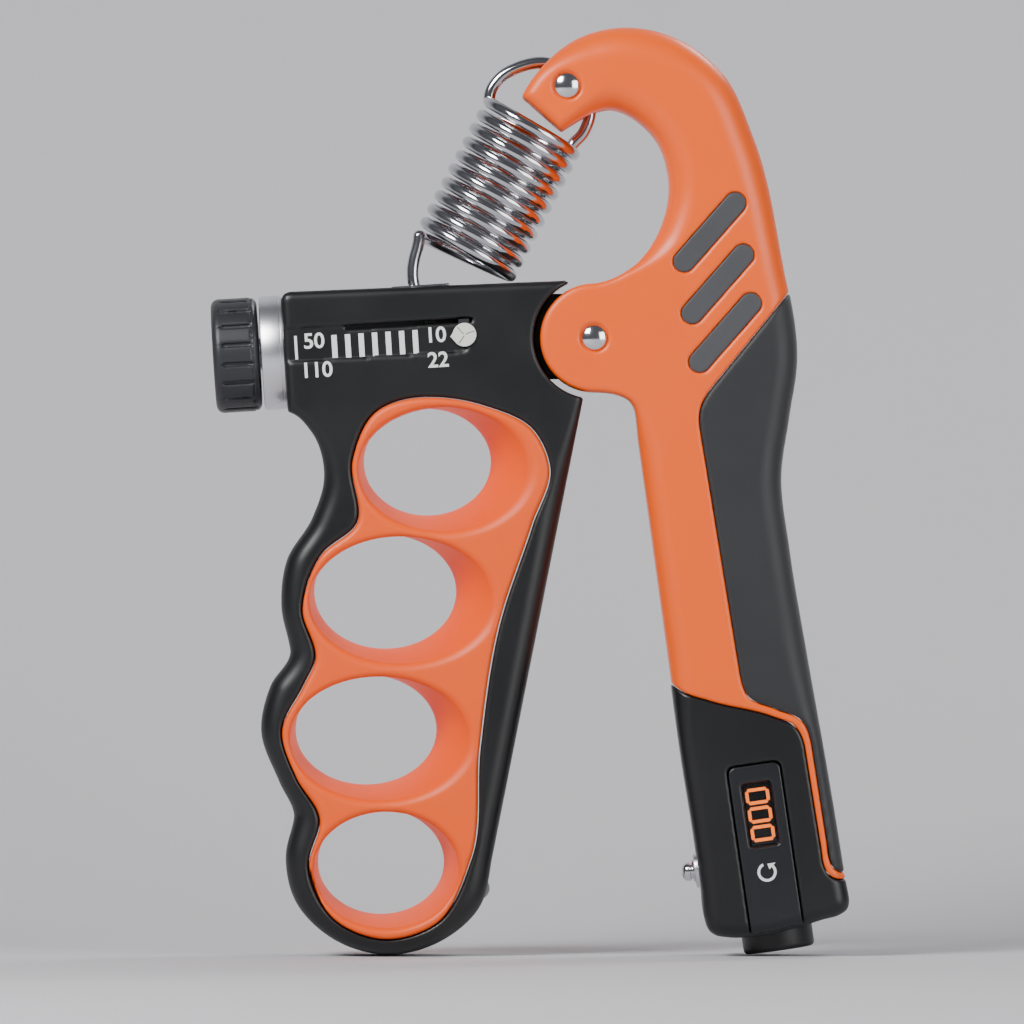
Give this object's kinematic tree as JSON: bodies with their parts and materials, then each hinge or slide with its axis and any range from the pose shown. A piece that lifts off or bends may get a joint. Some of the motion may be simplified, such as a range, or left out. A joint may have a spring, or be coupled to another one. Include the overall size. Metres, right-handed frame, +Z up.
{
  "type": "hand grip strengthener",
  "caption": "Sprung hand exerciser with a ringed finger handle, a palm handle, a load adjusting knob with a scale, and a squeeze counter with a reset button",
  "frame": {"origin": "bottom centre of the whole object, which stands on the finger handle's foot and the reset button", "axes": "X to the right across the two handles, Y from front to back, Z up"},
  "size_m": [0.1196, 0.0243, 0.1741],
  "materials": {
    "orange_shell": "satin moulded ABS",
    "orange_insert": "soft moulded elastomer",
    "black_shell": "fine textured ABS",
    "black_core": "moulded ABS",
    "soft_grip": "matte soft-touch elastomer",
    "knob_rubber": "matte moulded nylon",
    "polished_steel": "polished",
    "brushed_steel": "turned and polished",
    "spring_steel": "nickel plated wire",
    "zinc_screw": "zinc plated",
    "brass_bush": "turned",
    "white_washer": "moulded acetal",
    "white_mark": "moulded white plastic",
    "display_window": "clear acrylic window",
    "display_glass": "liquid crystal panel",
    "circuit_board": "glass fibre board",
    "cell_steel": "pressed steel"
  },
  "bodies": {
    "palm_handle": {"palm_shell_front": "orange_shell", "palm_shell_rear": "orange_shell", "palm_grip_pad": "soft_grip", "grip_core": "black_core", "slot_inlays": "soft_grip", "pivot_rivet": "polished_steel", "hook_rivet": "polished_steel", "hinge_washers": "white_washer", "palm_screws": "zinc_screw", "counter_housing": "black_shell", "counter_panel": "black_shell", "display_lens": "display_window", "counter_display": "display_glass", "counter_board": "circuit_board", "reset_switch": "circuit_board", "button_cell": "cell_steel", "cell_contact": "cell_steel", "battery_door": "black_shell", "plunger_guide": "polished_steel"},
    "finger_handle": {"finger_shell_front": "black_shell", "finger_shell_rear": "black_shell", "finger_ring_insert": "orange_insert", "finger_screws": "zinc_screw", "collar_ring": "brushed_steel", "screw_bearing": "brass_bush", "end_bearing": "brass_bush", "pivot_bush": "brass_bush", "scale_marks": "white_mark"},
    "tension_screw": {"tension_knob": "knob_rubber", "lead_screw": "zinc_screw", "retaining_clip": "zinc_screw"},
    "slider": {"slider_nut": "white_washer", "slider_pin": "polished_steel", "slot_cover": "brushed_steel", "load_indicator": "white_mark"},
    "spring_head": {"spring_top_eye": "spring_steel", "spring_hook_bush": "brass_bush"},
    "plunger": {"contact_plunger": "polished_steel", "plunger_spring": "spring_steel"},
    "reset": {"reset_button": "black_shell"},
    "spring_length_1": {"spring_coil_1": "spring_steel"},
    "spring_length_2": {"spring_coil_2": "spring_steel"},
    "spring_length_3": {"spring_coil_3": "spring_steel"},
    "spring_length_4": {"spring_coil_4": "spring_steel"},
    "spring_length_5": {"spring_coil_5": "spring_steel"},
    "spring_length_6": {"spring_coil_6": "spring_steel", "spring_lower_eye": "spring_steel"}
  },
  "joints": [
    {"name": "squeeze", "type": "hinge", "parent": "palm_handle", "child": "finger_handle", "pos_m": [0.0122, 0, 0.1159], "axis": [0, -1, 0], "range_deg": [0, 19.8], "stiffness_Nm_per_rad": 6, "springref_deg": -4.58},
    {"name": "slider_travel", "type": "slide", "parent": "finger_handle", "child": "slider", "axis": [-0.9981, 0, -0.061], "range_m": [0, 0.02]},
    {"name": "knob_turn", "type": "hinge", "parent": "finger_handle", "child": "tension_screw", "pos_m": [-0.0167, 0, 0.11503], "axis": [0.9981, 0, 0.061], "range_deg": [0, 3601]},
    {"name": "plunger_press", "type": "slide", "parent": "palm_handle", "child": "plunger", "axis": [0.9895, 0, 0.1444], "range_m": [0, 0.0015], "stiffness_N_per_m": 300, "springref_m": -0.0005, "deforming": ["plunger_spring"]},
    {"name": "reset_press", "type": "slide", "parent": "palm_handle", "child": "reset", "axis": [-0.1444, 0, 0.9895], "range_m": [0, 0.0008], "stiffness_N_per_m": 2500, "springref_m": -0.0008},
    {"name": "spring_swing", "type": "hinge", "parent": "palm_handle", "child": "spring_head", "pos_m": [0.0071, 0, 0.1631], "axis": [0, -1, 0], "range_deg": [0, 10.1]},
    {"name": "spring_stretch_1", "type": "slide", "parent": "spring_head", "child": "spring_length_1", "axis": [-0.8637, 0, -0.5041], "range_m": [0, 0.0036], "deforming": ["spring_coil_1"]},
    {"name": "spring_stretch_2", "type": "slide", "parent": "spring_length_1", "child": "spring_length_2", "axis": [-0.9945, 0, -0.1045], "range_m": [0, 0.0068], "deforming": ["spring_coil_2"]},
    {"name": "spring_stretch_3", "type": "slide", "parent": "spring_length_2", "child": "spring_length_3", "axis": [-0.8637, 0, -0.5041], "range_m": [0, 0.0036], "deforming": ["spring_coil_3"]},
    {"name": "spring_stretch_4", "type": "slide", "parent": "spring_length_3", "child": "spring_length_4", "axis": [-0.9945, 0, -0.1045], "range_m": [0, 0.0068], "deforming": ["spring_coil_4"]},
    {"name": "spring_stretch_5", "type": "slide", "parent": "spring_length_4", "child": "spring_length_5", "axis": [-0.8637, 0, -0.5041], "range_m": [0, 0.0036], "deforming": ["spring_coil_5"]},
    {"name": "spring_stretch_6", "type": "slide", "parent": "spring_length_5", "child": "spring_length_6", "axis": [-0.9945, 0, -0.1045], "range_m": [0, 0.0068], "deforming": ["spring_coil_6", "spring_lower_eye"]}
  ],
  "couplings": [
    {"joint": "knob_turn", "follows": "slider_travel", "rad_per_m": 3141.6},
    {"joint": "spring_swing", "follows": "squeeze", "ratio": 0.50505},
    {"joint": "spring_stretch_1", "follows": "squeeze", "m_per_rad": 0.010086},
    {"joint": "spring_stretch_2", "follows": "slider_travel", "ratio": 0.33333},
    {"joint": "spring_stretch_3", "follows": "squeeze", "m_per_rad": 0.010086},
    {"joint": "spring_stretch_4", "follows": "slider_travel", "ratio": 0.33333},
    {"joint": "spring_stretch_5", "follows": "squeeze", "m_per_rad": 0.010086},
    {"joint": "spring_stretch_6", "follows": "slider_travel", "ratio": 0.33333}
  ]
}
